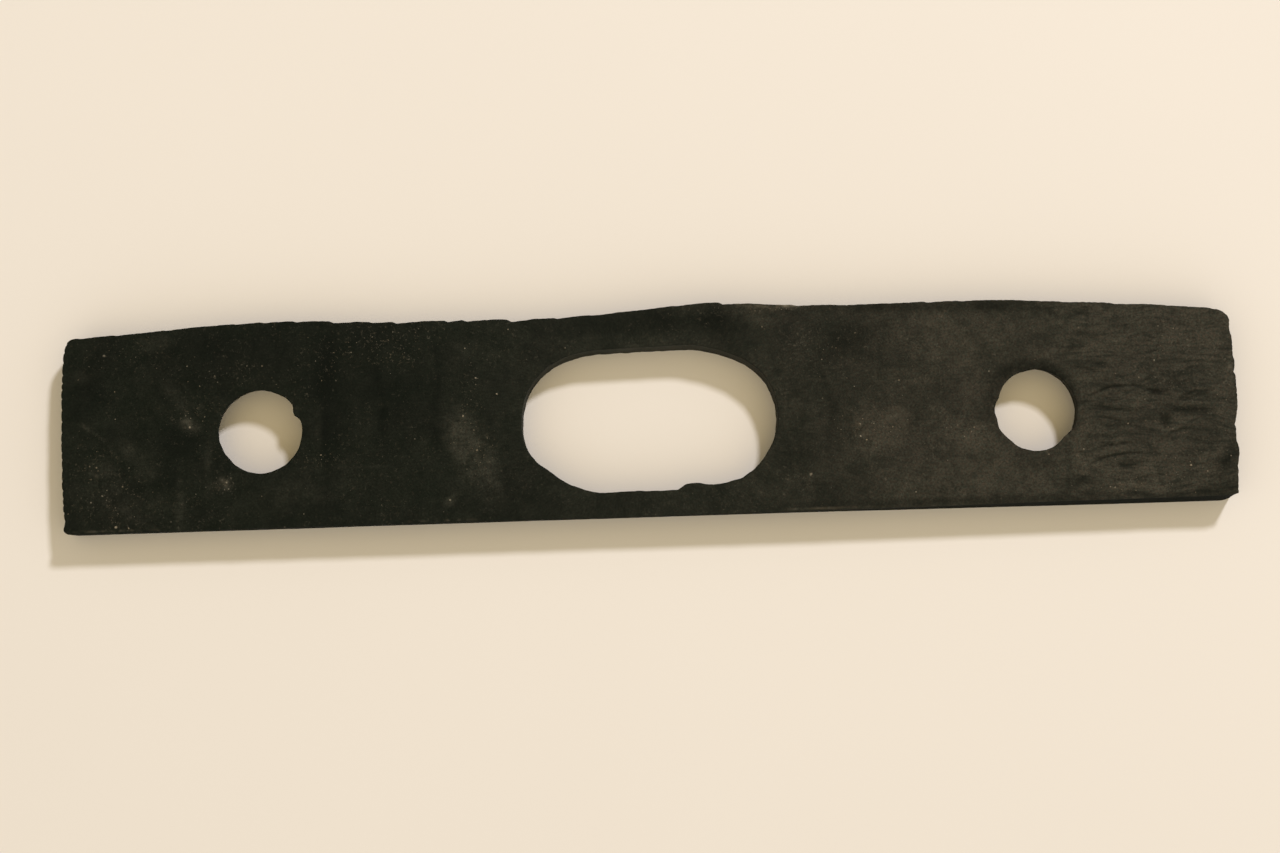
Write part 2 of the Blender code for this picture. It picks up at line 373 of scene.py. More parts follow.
def outward(points):
    """Each point's direction out of the rubber."""
    along = np.roll(points, -1, axis=0) - np.roll(points, 1, axis=0)
    along /= np.hypot(*along.T)[:, None]
    return np.column_stack([along[:, 1], -along[:, 0]])


def step_between(low, high, values):
    """Rises smoothly from 0 at low to 1 at high."""
    t = np.clip((values - low) / (high - low), 0, 1)
    return t * t * (3 - 2 * t)


def side_weights(normals):
    """How far each rim point faces the lower, upper, left and right side."""
    directions = {"lower": (0, -1), "upper": (0, 1), "left": (-1, 0), "right": (1, 0)}
    return {side: step_between(0.4, 0.8, normals @ np.array(way)) for side, way in directions.items()}


class Rim:
    """One edge loop: its even points, their outward directions, and how far along the loop they lie."""

    FINE = 0.08

    def __init__(self, points):
        self.opening = loop_area(points) < 0
        length = travelled(points)[1]
        fine = placed(points, np.arange(0, length, self.FINE))
        fine = eased(fine, 3 if self.opening else 10)
        spacing = self.wanted_spacing(outward(fine))
        measure = np.cumsum(self.FINE / spacing)
        places = np.interp(np.arange(0, measure[-1], 1.0), measure, np.arange(len(fine)) * self.FINE)
        self.points = placed(fine, places)
        self.normals = eased(outward(self.points), 2)
        self.normals /= np.hypot(*self.normals.T)[:, None]
        self.travel = travelled(self.points)[0]
        self.sides = side_weights(self.normals)
        self.middle = (self.points.max(0) + self.points.min(0)) / 2
        self.is_hole = self.opening and abs(self.middle[0]) > 30

    def wanted_spacing(self, normals):
        """The gap to leave between points, by the side that each faces."""
        if self.opening:
            return np.full(len(normals), OPENING_SPACING)
        weights = side_weights(normals)
        gap = np.full(len(normals), RIGHT_SPACING)
        gap += weights["lower"] * (LOWER_SPACING - RIGHT_SPACING)
        gap += weights["upper"] * (UPPER_SPACING - RIGHT_SPACING)
        gap += weights["left"] * (LEFT_SPACING - RIGHT_SPACING)
        return gap


# ---------------------------------------------------------------- noise and marks


def noise(x, y, cell_x, cell_y, seed):
    """Smooth noise between -1 and 1, on cells of a width and a height."""
    cells = 512
    table = np.random.default_rng(seed).uniform(-1, 1, (cells, cells))
    across, up = x / cell_x + 171.3, y / cell_y + 97.1
    column, row = np.floor(across).astype(int), np.floor(up).astype(int)
    u, v = step_between(0, 1, across - column), step_between(0, 1, up - row)
    low = table[column % cells, row % cells] * (1 - u) + table[(column + 1) % cells, row % cells] * u
    row = row + 1
    high = table[column % cells, row % cells] * (1 - u) + table[(column + 1) % cells, row % cells] * u
    return low * (1 - v) + high * v


def strokes(travel, shortest, longest, deepest, seed):
    """Cusped strokes of a knife along an edge: how far each point falls short of the stroke's crown."""
    random = np.random.default_rng(seed)
    ends = np.cumsum(random.uniform(shortest, longest, int(travel.max() / shortest) + 20)) - 4 * longest
    depths = random.uniform(0.35, 1.0, len(ends) + 1) * deepest
    number = np.searchsorted(ends, travel)
    start, end = ends[number - 1], ends[number]
    place = np.abs(2 * (travel - start) / (end - start) - 1)
    return -depths[number] * place ** 3


def notches(places, marks):
    """How far an edge falls short where knife strokes ended: a step down each time, and a slow recovery."""
    short = np.zeros(len(places))
    for place, drop, run in marks:
        past = places - place
        short -= drop * step_between(-0.8, 0.1, past) * np.clip(1 - past / run, 0, 1)
    return short


def oval(x, y, patch):
    """A soft-edged oval patch: its strength at its middle, fading outwards."""
    middle_x, middle_y, half_length, half_width, turn, strength = patch
    c, s = math.cos(math.radians(turn)), math.sin(math.radians(turn))
    along = ((x - middle_x) * c + (y - middle_y) * s) / half_length
    across = ((y - middle_y) * c - (x - middle_x) * s) / half_width
    return strength * np.exp(-1.2 * (along ** 2 + across ** 2) ** 1.5)


def smooth_route(route, steps=8):
    """A Catmull-Rom curve through a route's points."""
    points = np.array([route[0], *route, route[-1]], float)
    t = np.linspace(0, 1, steps, endpoint=False)[:, None]
    spans = []
    for before, first, second, after in zip(points, points[1:], points[2:], points[3:]):
        spans.append(
            first
            + t * (second - before) / 2
            + t ** 2 * (2 * before - 5 * first + 4 * second - after) / 2
            + t ** 3 * (3 * first - before - 3 * second + after) / 2
        )
    return np.vstack([*spans, points[-1:]])


def route_distance(x, y, route):
    """Each point's distance to a route, below zero on its right, and its place along it from 0 to 1."""
    line = smooth_route(route)
    steps = np.diff(line, axis=0)
    lengths = np.hypot(*steps.T)
    starts = np.concatenate([[0.0], np.cumsum(lengths)])
    best = np.full(len(x), 1e9)
    side = np.ones(len(x))
    place = np.zeros(len(x))
    for start, step, length, reached in zip(line, steps, lengths, starts):
        dx, dy = x - start[0], y - start[1]
        t = np.clip((dx * step[0] + dy * step[1]) / length ** 2, 0, 1)
        gap = np.hypot(dx - t * step[0], dy - t * step[1])
        nearer = gap < best
        best = np.where(nearer, gap, best)
        side = np.where(nearer, np.sign(dy * step[0] - dx * step[1]), side)
        place = np.where(nearer, (reached + t * length) / starts[-1], place)
    return best * side, place


def crease(x, y, depth, width, route):
    """A crease with one raised lip, fading out towards both ends."""
    middle_x, middle_y = np.mean(route, axis=0)
    near = (np.abs(x - middle_x) < 16) & (np.abs(y - middle_y) < 8)
    height = np.zeros(len(x))
    wander = 0.10 * noise(x[near], y[near], 1.1, 1.1, 41)
    gap, place = route_distance(x[near], y[near] + wander, route)
    fade = np.sin(math.pi * np.clip(place, 0.02, 0.98)) ** 0.6
    groove = -np.exp(-(gap / width) ** 2) + 0.45 * np.exp(-((gap - 2.2 * width) / (1.4 * width)) ** 2)
    height[near] = depth * fade * groove
    return height


def scratch(x, y, strength, width, route):
    """A scratch's strength, broken up along its length."""
    gap, place = route_distance(x, y, route)
    broken = 0.65 + 0.5 * noise(x, y, 0.7, 0.7, 77)
    return strength * broken * np.exp(-(gap / (1.6 * width)) ** 2) * step_between(0, 0.06, place)


def streak(x, y, strength, width, route):
    """A dark streak's strength: wandering, ragged, and fading out towards both ends."""
    wander = 0.35 * noise(x, y, 1.4, 1.4, 78)
    gap, place = route_distance(x, y + wander, route)
    ragged = 0.7 + 0.6 * noise(x, y, 1.1, 0.7, 79)
    fade = np.sin(math.pi * np.clip(place, 0.03, 0.97)) ** 0.5
    return strength * ragged * fade * np.exp(-(gap / (1.5 * width)) ** 2)


def flow_line(x, y):
    """The height of the flow line through each point, which the rubber's streaks follow."""
    return y + 1.1 * noise(x, y, 9, 5, 65) + 0.5 * noise(x, y, 3.2, 2.5, 66)


# ---------------------------------------------------------------- walls and faces


def hole_flare(rim):
    """How much wider a bolt hole is at the back than at the front, at each rim point."""
    if not rim.is_hole:
        return 0.0
    spread, strayed = RIGHT_FLARE if rim.middle[0] > 0 else LEFT_FLARE
    return spread - rim.normals @ np.array(strayed)


def wall_offset(rim, z):
    """How far each rim point of the wall lies outside the outline, at a height."""
    travel, sides = rim.travel, rim.sides
    level = np.full(len(travel), z)
    drawn = 0.035 * noise(travel, level, 2.6, 0.32, 11) + 0.025 * noise(travel, level, 0.9, 0.22, 12)
    if rim.opening:
        ragged = 0.05 * noise(travel, level, 1.3, 3.0, 21) + 0.03 * noise(travel, level, 0.5, 1.2, 22)
        return ragged + drawn - hole_flare(rim) * (1 - z / THICKNESS)
    slant = 0.3 * (z - THICKNESS)
    x, y = rim.points.T
    upper = notches(x + slant, UPPER_NOTCHES) + strokes(travel + slant, 0.9, 2.4, 0.06, 32) + drawn
    left = strokes(travel + slant, 1.0, 2.2, 0.22, 33) + 0.07 * noise(travel, level, 2.6, 4.0, 34)
    left = left + 0.6 * drawn
    right = notches(y + slant, RIGHT_NOTCHES) + strokes(travel + slant, 0.7, 1.6, 0.10, 35) + 1.4 * drawn
    lower = 0.02 * noise(travel, level, 9.0, 2.0, 37) + 0.012 * noise(travel, level, 0.8, 0.4, 38)
    rightwards = step_between(15, 95, x)
    lower -= LEAN_LEFT * (1 - z / THICKNESS) * (1 - rightwards) + LEAN_RIGHT * z / THICKNESS * rightwards
    return sides["upper"] * upper + sides["left"] * left + sides["right"] * right + sides["lower"] * lower


def arris_radius(rim):
    """How rounded the front arris is along a rim."""
    radius = 0.15 + 0.05 * noise(rim.travel, rim.travel * 0, 2.3, 1.0, 51)
    if not rim.opening:
        torn = step_between(0.2, 0.8, noise(rim.travel, rim.travel * 0, 4.0, 1.0, 52))
        radius += 0.08 * rim.sides["upper"] * torn
    return radius


def hex_grid(left, right, bottom, top, gap):
    """Points of a grid of even triangles over a rectangle."""
    row_gap = gap * math.sqrt(0.75)
    rows = np.arange(bottom, top, row_gap)
    columns = np.arange(left, right, gap)
    x = columns[None, :] + np.where(np.arange(len(rows)) % 2, gap / 2, 0)[:, None]
    y = np.repeat(rows[:, None], len(columns), axis=1)
    return np.column_stack([x.ravel(), y.ravel()])


def rim_tree(outlines):
    """A lookup of the nearest rim point."""
    points = np.vstack(outlines)
    tree = KDTree(len(points))
    for index, (x, y) in enumerate(points):
        tree.insert((x, y, 0), index)
    tree.balance()
    return tree


def rim_gaps(tree, points):
    """Each point's distance to the nearest rim point."""
    return np.array([tree.find((x, y, 0))[2] for x, y in points])


def inside_rubber(points, outlines):
    """Which points lie in the strip and in none of its openings."""
    inside = np.zeros(len(points), bool)
    x, y = points.T
    for outline in outlines:
        following = np.roll(outline, -1, axis=0)
        for (x1, y1), (x2, y2) in zip(outline, following):
            if y1 == y2:
                continue
            crossing = ((y1 > y) != (y2 > y)) & (x < (x2 - x1) * (y - y1) / (y2 - y1) + x1)
            inside ^= crossing
    return inside


def ring_points(rims, outlines, distance, tree):
    """Points a distance in from every rim, leaving out those that would fall too near to another stretch."""
    rings = [outline - rim.normals * distance for rim, outline in zip(rims, outlines)]
    points = np.vstack(rings)
    return points[rim_gaps(tree, points) > 0.85 * distance]


def clear_of(points, middles, gaps):
    """Points that keep a gap to each of some middles."""
    keep = np.ones(len(points), bool)
    for (x, y), gap in zip(middles, gaps):
        keep &= np.hypot(points[:, 0] - x, points[:, 1] - y) > gap
    return points[keep]


def triangulated(outlines, inner):
    """Triangles over a face: its outlines' points come first, and then the inner points."""
    points = np.vstack([*outlines, inner])
    edges = []
    start = 0
    for outline in outlines:
        count = len(outline)
        edges += [(start + step, start + (step + 1) % count) for step in range(count)]
        start += count
    made = delaunay_2d_cdt([Vector(p) for p in points.tolist()], edges, [], 1, 1e-7)
    source = np.array([ids[0] for ids in made[3]])
    triangles = source[np.array(made[2])]
    between_rims = triangles.max(1) < start
    in_rubber = np.ones(len(triangles), bool)
    in_rubber[between_rims] = inside_rubber(points[triangles[between_rims]].mean(1), outlines)
    return points, triangles[in_rubber]


# ---------------------------------------------------------------- grit


def front_grains(tree, outlines):
    """The grains on the front face: middles, radii and brightnesses. Those named above come first."""
    random = np.random.default_rng(5)
    grains = [list(grain) for grain in GRAINS]
    for x, y, half_length, half_width, count in GRIT_DRIFTS:
        for _ in range(count):
            place = random.normal(0, 0.55, 2)
            size, glow = 0.09 + 0.09 * random.random() ** 2, 0.05 + 0.34 * random.random() ** 3
            grains.append([x + place[0] * half_length, y + place[1] * half_width, size, glow])
    for _ in range(SCATTERED_GRAINS):
        place = random.uniform(-1, 1, 2)
        size, glow = 0.08 + 0.06 * random.random() ** 2, 0.05 + 0.22 * random.random() ** 3
        grains.append([place[0] * 101, place[1] * 18.3, size, glow])
    grains = np.array(grains)
    grains = grains[inside_rubber(grains[:, :2], outlines)]
    grains = grains[rim_gaps(tree, grains[:, :2]) > 0.45 + grains[:, 2]]
    kept = []
    for grain in grains:
        if all(math.hypot(grain[0] - o[0], grain[1] - o[1]) > 1.15 * (grain[2] + o[2]) for o in kept):
            kept.append(grain)
    return np.array(kept)


def grain_points(grains):
    """Each grain's middle and six points unevenly round it."""
    random = np.random.default_rng(6)
    turns = np.arange(6) * math.pi / 3
    ring = np.column_stack([np.cos(turns), np.sin(turns)])
    reach = grains[:, None, 2:3] * random.uniform(0.55, 1.25, (len(grains), 6, 1))
    around = grains[:, None, :2] + reach * ring[None]
    return np.vstack([grains[:, :2], around.reshape(-1, 2)])


# ---------------------------------------------------------------- relief and masks


def front_relief(x, y):
    """The front face's height over flat: undulation, flow lines, creases, a pit and dents."""
    height = 0.05 * noise(x, y, 15, 11, 61) + 0.022 * noise(x, y, 4.5, 4.5, 62)
    height += 0.010 * noise(x, y, 1.7, 1.7, 63) + 0.006 * noise(x, y, 0.95, 0.95, 64)
    flow = step_between(*FLOW_RISE, x)
    bend = flow_line(x, y)
    height += flow * (0.022 * noise(x, bend, 6.5, 0.85, 67) + 0.016 * noise(x, bend, 2.6, 0.5, 68))
    for depth, width, route in CREASES:
        height += crease(x, y, depth, width, route)
    height -= oval(x, y, PIT)
    return height - dents(x, y)


def dents(x, y):
    """Shallow dents knocked into the face."""
    random = np.random.default_rng(8)
    depth = np.zeros(len(x))
    for _ in range(70):
        place = random.uniform(-1, 1, 2) * (100, 18)
        size = random.uniform(0.35, 1.3)
        half_width = size * random.uniform(0.5, 1)
        depth += oval(x, y, (*place, size, half_width, random.uniform(0, 180), 0.045 * size))
    return depth


def hole_roll(rims, x, y):
    """How far the face rolls in towards each bolt hole."""
    drop = np.zeros(len(x))
    for rim in rims:
        if rim.is_hole:
            radius = np.ptp(rim.points[:, 0]) / 2
            gap = np.hypot(x - rim.middle[0], y - rim.middle[1]) - radius
            amount = 0.16 if rim.middle[0] > 0 else 0.07
            drop += amount * np.exp(-np.clip(gap, 0, None) / 1.1)
    return drop


def back_relief(x, y):
    """The back face's height over flat, never below the surface that the strip lies on."""
    height = 0.05 + 0.03 * noise(x, y, 15, 11, 71) + 0.012 * noise(x, y, 4, 4, 72)
    return height - 0.008 * noise(x, y, 1.9, 1.9, 73)


def dust_and_light_mask(x, y):
    """How dusty the front face is: more to the right, in clouds and along the flow lines, with pale
    scratches; those on the lower arris are partly painted highlight.
    """
    dust_and_light = 0.085 + 0.22 * step_between(-50, 12, x) + 0.42 * step_between(10, 62, x)
    broken = 1 + 0.5 * noise(x, y, 1.5, 1.4, 87) + 0.5 * noise(x, y, 0.8, 0.8, 88)
    for patch in DUST_PATCHES:
        dust_and_light += broken * oval(x, y, patch)
    uneven = 0.20 * noise(x, y, 9, 7, 81) + 0.18 * noise(x, y, 3.4, 3.0, 82)
    uneven = uneven + 0.14 * noise(x, y, 1.2, 1.1, 84)
    bend = flow_line(x, y)
    flow = step_between(*FLOW_RISE, x)
    streaky = 0.10 * noise(x, bend, 6.5, 0.85, 67) + 0.22 * noise(x, bend, 2.2, 0.42, 83)
    dust_and_light *= 1 + (1 - 0.4 * flow) * uneven + flow * streaky
    for strength, width, route in SCRATCHES_AND_EDGE_HIGHLIGHT:
        dust_and_light += scratch(x, y, strength, width, route)
    return dust_and_light


def scuff_and_highlight_mask(x, y):
    """Where the front face is scraped pale, in specks; the pale lines along the lower edge are partly painted
    highlight.
    """
    specks = np.clip(0.6 + 1.8 * noise(x, y, 0.7, 0.6, 89) + 0.8 * noise(x, y, 1.8, 1.4, 90), 0, None)
    return specks * sum(oval(x, y, patch) for patch in SCUFFS_AND_EDGE_HIGHLIGHT)


def painted_hole_shade(rims, x, y):
    """Painted shade round the right bolt hole, where its face rolls in: it stands a little off the rim at its
    upper left.
    """
    halo = np.zeros(len(x))
    for rim in rims:
        if rim.is_hole and rim.middle[0] > 0:
            dx, dy = x - rim.middle[0], y - rim.middle[1]
            turn = np.arctan2(dy, dx)
            gap = np.hypot(dx, dy) - np.ptp(rim.points[:, 0]) / 2
            middle = 1.0 * np.clip(np.cos(turn - math.radians(130)), 0, 1)
            patchy = 1 + 0.35 * noise(x, y, 1.6, 1.4, 95) + 0.30 * noise(x, y, 0.5, 0.4, 96)
            strength = (0.30 + 0.20 * np.cos(turn - math.radians(80))) * patchy
            halo += strength * np.exp(-(np.clip(np.abs(gap - middle) - 0.3, 0, None) / 1.1) ** 2)
    return halo


def dark_mask(rims, x, y):
    """Where the front face is dark, from 0 to 1: cleaner rubber and streaks, and painted shade round the
    right bolt hole, in the creases, in the pit and along the lower edge.
    """
    dark = painted_hole_shade(rims, x, y) + sum(oval(x, y, patch) for patch in DARK_PATCHES)
    # Painted shade in each crease, darkest where the groove is deepest; the dark also takes dust away there.
    for depth, width, route in CREASES:
        dark = dark + 4.2 * np.clip(-crease(x, y, depth, 1.2 * width, route), 0, None)
    for strength, width, route in STREAKS:
        dark = dark + streak(x, y, strength, width, route)
    dark = dark + oval(x, y, PIT_SHADE)
    return np.clip(dark, 0, 0.9)


def speckle_mask(x, y):
    """How thickly fine specks lie on the front face."""
    speckle = 0.30 + 0.25 * noise(x, y, 7, 6, 85) + 0.2 * noise(x, y, 2.5, 2.5, 86)
    for middle_x, middle_y, half_length, half_width, _ in GRIT_DRIFTS:
        speckle += oval(x, y, (middle_x, middle_y, half_length, half_width, 0, 0.45))
    return np.clip(speckle, 0, 1.2)


# ---------------------------------------------------------------- the strip


def front_grid(low, high):
    """Even points over the front face, closer together at the flow lines and closest at the creases."""
    coarse = hex_grid(low[0], FLOW_START, low[1], high[1], FRONT_SPACING)
    fine = hex_grid(FLOW_START, high[0], low[1], high[1], FLOW_SPACING)
    left, right, bottom, top = CREASED
    x, y = fine.T
    creased = (x > left) & (x < right) & (y > bottom) & (y < top)
    return np.vstack([coarse, fine[~creased], hex_grid(left, right, bottom, top, CREASE_SPACING)])


def front_face(rims, outlines, radii):
    """The front face's points, triangles and masks."""
    tree = rim_tree(outlines)
    grains = front_grains(tree, outlines)
    extent = np.vstack(outlines)
    low, high = extent.min(0), extent.max(0)
    grid = front_grid(low, high)
    grid = grid[inside_rubber(grid, outlines)]
    grid = grid[rim_gaps(tree, grid) > FRONT_RINGS[-1] + 0.18]
    rings = [ring_points(rims, outlines, distance, tree) for distance in FRONT_RINGS]
    smooth = clear_of(np.vstack([*rings, grid]), grains[:, :2], grains[:, 2] * 1.5)
    inner = np.vstack([grain_points(grains), smooth])
    points, triangles = triangulated(outlines, inner)

    x, y = points.T
    z = THICKNESS + front_relief(x, y) - hole_roll(rims, x, y)
    z -= arris_drop(points, outlines, radii, tree)
    rim_count = sum(len(outline) for outline in outlines)
    grit_and_highlight = scuff_and_highlight_mask(x, y)
    grit_and_highlight[rim_count:rim_count + len(grains)] = grains[:, 3]
    z[rim_count:rim_count + len(grains)] += 0.35 * grains[:, 2]
    masks = {"dust_and_light": dust_and_light_mask(x, y), "dark": dark_mask(rims, x, y), "speckle": speckle_mask(x, y)}
    masks["grit_and_highlight"] = grit_and_highlight
    return np.column_stack([points, z]), triangles, masks


def arris_drop(points, outlines, radii, tree):
    """How far each point lies below its face, because of the rounded arris at the nearest rim point."""
    radii = np.concatenate(radii)
    drop = np.zeros(len(points))
    for index, (x, y) in enumerate(points):
        _, nearest, gap = tree.find((x, y, 0))
        radius = radii[nearest]
        if gap < radius:
            drop[index] = radius - math.sqrt(radius ** 2 - (radius - gap) ** 2)
    return drop


def back_face(rims, outlines, radii):
    """The back face's points and triangles."""
    tree = rim_tree(outlines)
    extent = np.vstack(outlines)
    low, high = extent.min(0), extent.max(0)
    grid = hex_grid(low[0], high[0], low[1], high[1], BACK_SPACING)
    grid = grid[inside_rubber(grid, outlines)]
    grid = grid[rim_gaps(tree, grid) > BACK_RINGS[-1] + 0.35]
    rings = [ring_points(rims, outlines, distance, tree) for distance in BACK_RINGS]
    points, triangles = triangulated(outlines, np.vstack([*rings, grid]))
    z = back_relief(*points.T) + arris_drop(points, outlines, radii, tree)
    return np.column_stack([points, z]), triangles[:, ::-1]


def wall_masks(rim):
    """The masks at one height of a rim's wall: painted shade on the outline's lower side, and dust elsewhere,
    made paler in the openings as painted light.
    """
    # Painted shade: the outline's lower side is darkened in full.
    lower = rim.sides["lower"] * (0.0 if rim.opening else 1.0)
    uneven = 0.06 * noise(rim.travel, rim.travel * 0, 3.0, 1.0, 92)
    dust_and_light = 0.24
    # Painted light: the openings' walls get more pale dust than the outer walls, to lift their shade.
    if rim.opening:
        dust_and_light = 0.60 if rim.middle[0] < 30 else 0.45
    return {"dust_and_light": (dust_and_light + uneven) * (1 - lower), "dark": lower}


def strip_mesh():
    """The whole strip as one closed mesh, with its masks."""
    rims = [Rim(loop) for loop in cad_loops("rubber_strip")]
    front_radii = [arris_radius(rim) for rim in rims]
    back_radii = [0.8 * radius for radius in front_radii]
    front_outlines = [rim.points + rim.normals * wall_offset(rim, THICKNESS)[:, None] for rim in rims]
    back_outlines = [rim.points + rim.normals * wall_offset(rim, 0.0)[:, None] for rim in rims]
    front, front_triangles, masks = front_face(rims, front_outlines, front_radii)
    back, back_triangles = back_face(rims, back_outlines, back_radii)

    points = [front, back]
    walls = {"dust_and_light": [], "dark": []}
    faces = front_triangles.tolist() + (back_triangles + len(front)).tolist()
    count = len(front) + len(back)
    start = 0
    for rim in rims:
        size = len(rim.points)
        top = np.arange(start, start + size)
        bottom = top + len(front)
        rows = [bottom]
        for row in range(1, WALL_ROWS):
            share = row / WALL_ROWS
            level = back[top, 2] * (1 - share) + front[top, 2] * share
            wall = rim.points + rim.normals * wall_offset(rim, share * THICKNESS)[:, None]
            points.append(np.column_stack([wall, level]))
            for name, mask in wall_masks(rim).items():
                walls[name].append(mask)
            rows.append(np.arange(count, count + size))
            count += size
        rows.append(top)
        for lower, upper in zip(rows, rows[1:]):
            faces += np.column_stack([lower, np.roll(lower, -1), np.roll(upper, -1), upper]).tolist()
        start += size
    points = np.vstack(points)
    values = {name: np.pad(mask, (0, len(points) - len(mask))) for name, mask in masks.items()}
    both_faces = len(front) + len(back)
    values["dust_and_light"][len(front):both_faces] = 0.35 + 0.1 * noise(*back[:, :2].T, 7, 7, 91)
    values["speckle"][len(front):both_faces] = 0.3
    for name, parts in walls.items():
        values[name][both_faces:] = np.concatenate(parts)
    values["cut"] = np.zeros(len(points))
    values["cut"][both_faces:] = 1.0
    return points, faces, values


def streak_places(points):
    """Where each point lies in the pattern of long wavy streaks."""
    x, y, z = points.T
    return np.column_stack([0.17 * x, 1.2 * flow_line(x, y), z])


def make_strip(material):
    """The strip's own object, riding on the one body and standing for the CAD node."""
    points, faces, values = strip_mesh()
    mesh = bpy.data.meshes.new("rubber_strip_worn")
    mesh.from_pydata((points * MM).tolist(), [], faces)
    for name, value in values.items():
        layer = mesh.attributes.new(name, "FLOAT", "POINT")
        layer.data.foreach_set("value", value.astype(np.float32))
    layer = mesh.attributes.new("streaks", "FLOAT_VECTOR", "POINT")
    layer.data.foreach_set("vector", streak_places(points).astype(np.float32).ravel())
    mesh.shade_smooth()
    mesh.materials.append(material)
    strip = bpy.data.objects.new("rubber_strip_worn", mesh)
    bpy.context.scene.collection.objects.link(strip)
    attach(strip, "root")
    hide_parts("rubber_strip")
    return strip


# ---------------------------------------------------------------- materials


class Nodes:
    """Adds a material's nodes and joins them."""

    def __init__(self, material):
        material.use_nodes = True
        self.tree = material.node_tree
        self.shader = self.tree.nodes["Principled BSDF"]

    def add(self, kind, inputs=(), **settings):
        """A node with settings. An input is a number, a colour or another node's output."""
        node = self.tree.nodes.new(kind)
        for name, value in settings.items():
            setattr(node, name, value)
        for socket, value in dict(inputs).items():
            self.put(node.inputs[socket], value)
        return node

    def put(self, socket, value):
        if isinstance(value, bpy.types.NodeSocket):
            self.tree.links.new(value, socket)
        else:
            socket.default_value = value

    def maths(self, operation, first, second=0.0, third=0.0, clamp=False):
        inputs = {0: first, 1: second, 2: third}
        return self.add("ShaderNodeMath", inputs, operation=operation, use_clamp=clamp).outputs[0]

    def noise(self, place, scale, detail, roughness=0.55, distortion=0.0):
        inputs = {"Vector": place, "Scale": scale, "Detail": detail, "Roughness": roughness}
        inputs["Distortion"] = distortion
        return self.add("ShaderNodeTexNoise", inputs).outputs["Fac"]

    def ramp(self, value, low, high, to_low=0.0, to_high=1.0):
        inputs = {"Value": value, "From Min": low, "From Max": high, "To Min": to_low, "To Max": to_high}
        return self.add("ShaderNodeMapRange", inputs, interpolation_type="SMOOTHSTEP").outputs["Result"]

    def mix(self, share, first, second):
        return self.add("ShaderNodeMix", {0: share, 6: first, 7: second}, data_type="RGBA").outputs[2]

    def mask(self, name, output="Fac"):
        return self.add("ShaderNodeAttribute", attribute_name=name).outputs[output]

    def shade(self, colour, factor):
        """A colour made brighter or darker."""
        node = self.add("ShaderNodeVectorMath", {0: colour, "Scale": factor}, operation="SCALE")
        return node.outputs[0]

    def specks(self, place, cell, largest, share):
        """Round specks of their own strength, in a share of the cells, at most one to a cell."""
        cells = self.add("ShaderNodeTexVoronoi", {"Vector": place, "Scale": 1 / cell})
        chance = self.add("ShaderNodeSeparateColor", {0: cells.outputs["Color"]}).outputs
        reach = self.maths("MULTIPLY_ADD", chance[1], 0.75 * largest / cell, 0.25 * largest / cell)
        spot = self.ramp(cells.outputs["Distance"], reach, self.maths("MULTIPLY", reach, 0.35))
        kept = self.maths("LESS_THAN", chance[0], share)
        strength = self.maths("MULTIPLY_ADD", chance[2], 0.85, 0.15)
        return self.maths("MULTIPLY", self.maths("MULTIPLY", spot, kept), strength)

    def millimetres(self, scale=(1, 1, 1)):
        place = self.add("ShaderNodeTexCoord").outputs["Object"]
        factors = tuple(factor / MM for factor in scale)
        return self.add("ShaderNodeVectorMath", {0: place, 1: factors}, operation="MULTIPLY").outputs[0]

    def bump(self, height, distance, strength=1.0, below=None):
        inputs = {"Height": height, "Distance": distance * MM, "Strength": strength}
        if below is not None:
            inputs["Normal"] = below
        return self.add("ShaderNodeBump", inputs).outputs["Normal"]


